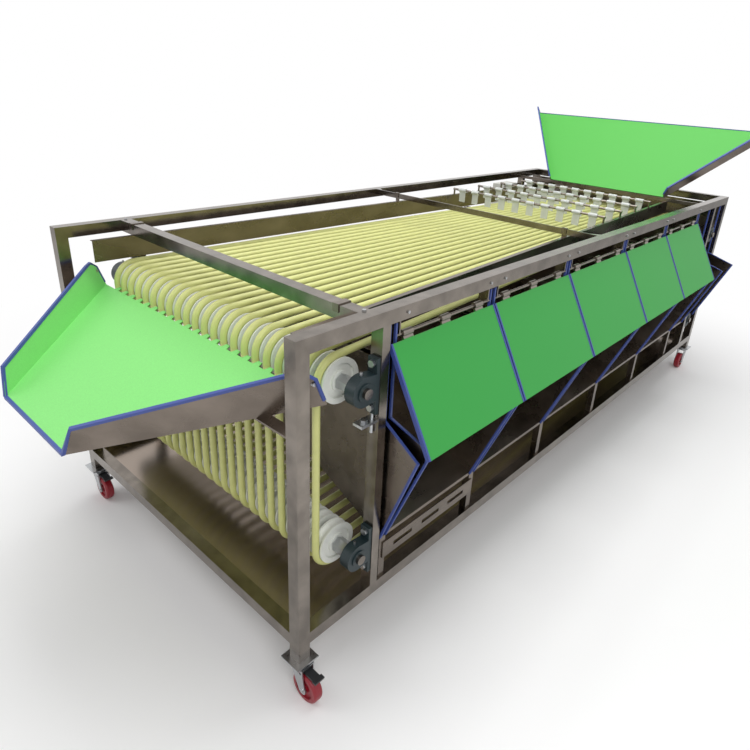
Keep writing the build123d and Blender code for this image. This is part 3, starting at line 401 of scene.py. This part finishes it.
class GRADER_OT_flap_trims(bpy.types.Operator):
    """Blue trims down both sides of each flap"""
    bl_idname = "grader.flap_trims"
    bl_label = "Flap trims"

    def execute(self, context):
        width = context.scene.grader_sizes.trim
        mat = bpy.data.materials["blue trim"]
        down_y, down_z = -sin(FLAP_TILT), -cos(FLAP_TILT)
        for i in range(FLAPS):
            first = BAYS[i] - WALL_HALF if i == 0 else BAYS[i] + FLAP_SIDE
            last = BAYS[i + 1] - FLAP_SIDE
            bm = bmesh.new()
            for x in (first - FLAP_TRIM_OUT, last + FLAP_TRIM_OUT):
                line = [place(x, HINGE[0] + s * down_y, HINGE[1] + s * down_z) for s in FLAP_TRIM_RUN]
                sweep(bm, line, width, FLAP_TRIM_HIGH, ALONG)
            object_from(bm, f"flap_trim_{i + 1}", mat, f"flap_{i + 1}")
        return {"FINISHED"}


class GRADER_OT_wall_trims(bpy.types.Operator):
    """Blue trims over the outer edges of the chute side plates"""
    bl_idname = "grader.wall_trims"
    bl_label = "Chute trims"

    def execute(self, context):
        width = context.scene.grader_sizes.trim
        edges = [x + side * WALL_HALF for x in BAYS[:-1] for side in (-1, 1)]
        edges += [BAYS[-1] - WALL_HALF, END_PLATE]
        bm = bmesh.new()
        for i, x in enumerate(edges):
            tip = FIRST_TIP if i == 0 else WALL_TIP
            line = [place(x, y, z) for y, z in (WALL_TOP, WALL_BEND, tip, WALL_FOOT)]
            sweep(bm, line, width, width, ALONG)
        object_from(bm, "wall_trims", bpy.data.materials["blue trim"], "machine")
        return {"FINISHED"}


class GRADER_OT_scoop_trims(bpy.types.Operator):
    """Blue trims round the rims of the discharge tray and the feed hopper"""
    bl_idname = "grader.scoop_trims"
    bl_label = "Tray and hopper trims"

    def execute(self, context):
        width = context.scene.grader_sizes.trim + RIM_EXTRA
        mat = bpy.data.materials["blue trim"]
        for name, scoop, rim in (("tray_trim", TRAY, TRAY_RIM), ("hopper_trim", HOPPER, HOPPER_RIM)):
            bm = bmesh.new()
            for side in (-1, 1):
                line = [on_slope(scoop, along, side, height) for along, height in rim]
                sweep(bm, line, width, width, ACROSS)
            lip = scoop[2] - LIP_INSET
            sweep(bm, [on_slope(scoop, lip, side, 0) for side in (-1, 1)], width, width, UP)
            object_from(bm, name, mat, "machine")
        return {"FINISHED"}


class GRADER_OT_fittings(bpy.types.Operator):
    """Hex collars on the shafts, grease points, bolts and small screws"""
    bl_idname = "grader.fittings"
    bl_label = "Fittings"

    def execute(self, context):
        radius = context.scene.grader_sizes.shaft_hex
        zinc = bpy.data.materials["zinc plated steel"]
        for end, x in SHAFT_X.items():
            for level, z in SHAFT_Z.items():
                bm = bmesh.new()
                for side in (-1, 1):
                    hexagon(bm, place(x, side * COLLAR_Y, z), ACROSS * side, radius, COLLAR_LENGTH)
                object_from(bm, f"{end}_{level}_collars", zinc, f"{end}_{level}_roller")
        bm = bmesh.new()
        for side in (-1, 1):
            for x in SHAFT_X.values():
                for z in SHAFT_Z.values():
                    hexagon(bm, place(x, side * GREASE_Y, z + GREASE_UP), UP, *GREASE_SIZE)
            x, y, z = TRAY_BOLT
            hexagon(bm, place(x, side * y, z), ACROSS * side, *TRAY_BOLT_SIZE)
            x, y, z = CORNER_BOLT
            hexagon(bm, place(x, side * y, z), UP, *CORNER_BOLT_SIZE)
        for first, last in zip(BAYS[:FLAPS], BAYS[1:FLAPS + 1]):
            for x in (first + HANGER_IN, last - HANGER_IN):
                hexagon(bm, place(x, HANGER_Y, HANGER_Z), -ACROSS, *HANGER_SIZE)
        object_from(bm, "small_screws", zinc, "machine")
        return {"FINISHED"}


class GRADER_OT_studio(bpy.types.Operator):
    """Floor, soft lamps, world and camera"""
    bl_idname = "grader.studio"
    bl_label = "Studio"

    def execute(self, context):
        add_floor(context.scene)
        add_world(context.scene)
        add_lamps(context.scene)
        add_camera(context.scene)
        return {"FINISHED"}


class GRADER_PT_panel(bpy.types.Panel):
    """Pieces of the machine's looks"""
    bl_label = "Grader"
    bl_idname = "GRADER_PT_panel"
    bl_space_type = "VIEW_3D"
    bl_region_type = "UI"
    bl_category = "Grader"

    def draw(self, context):
        for group in (context.scene.grader_colours, context.scene.grader_sizes):
            for key in group.__annotations__:
                self.layout.prop(group, key)
        for step in STEPS:
            self.layout.operator(step.bl_idname)


STEPS = (GRADER_OT_materials, GRADER_OT_flap_trims, GRADER_OT_wall_trims, GRADER_OT_scoop_trims,
         GRADER_OT_fittings, GRADER_OT_studio)
CLASSES = (GraderColours, GraderSizes) + STEPS + (GRADER_PT_panel,)


def register():
    for cls in CLASSES:
        bpy.utils.register_class(cls)
    bpy.types.Scene.grader_colours = bpy.props.PointerProperty(type=GraderColours)
    bpy.types.Scene.grader_sizes = bpy.props.PointerProperty(type=GraderSizes)


def unregister():
    del bpy.types.Scene.grader_sizes
    del bpy.types.Scene.grader_colours
    for cls in reversed(CLASSES):
        bpy.utils.unregister_class(cls)


def main():
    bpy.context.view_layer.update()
    register()
    bpy.ops.grader.materials()
    bpy.ops.grader.flap_trims()
    bpy.ops.grader.wall_trims()
    bpy.ops.grader.scoop_trims()
    bpy.ops.grader.fittings()
    bpy.ops.grader.studio()


if __name__ == "__main__":
    main()
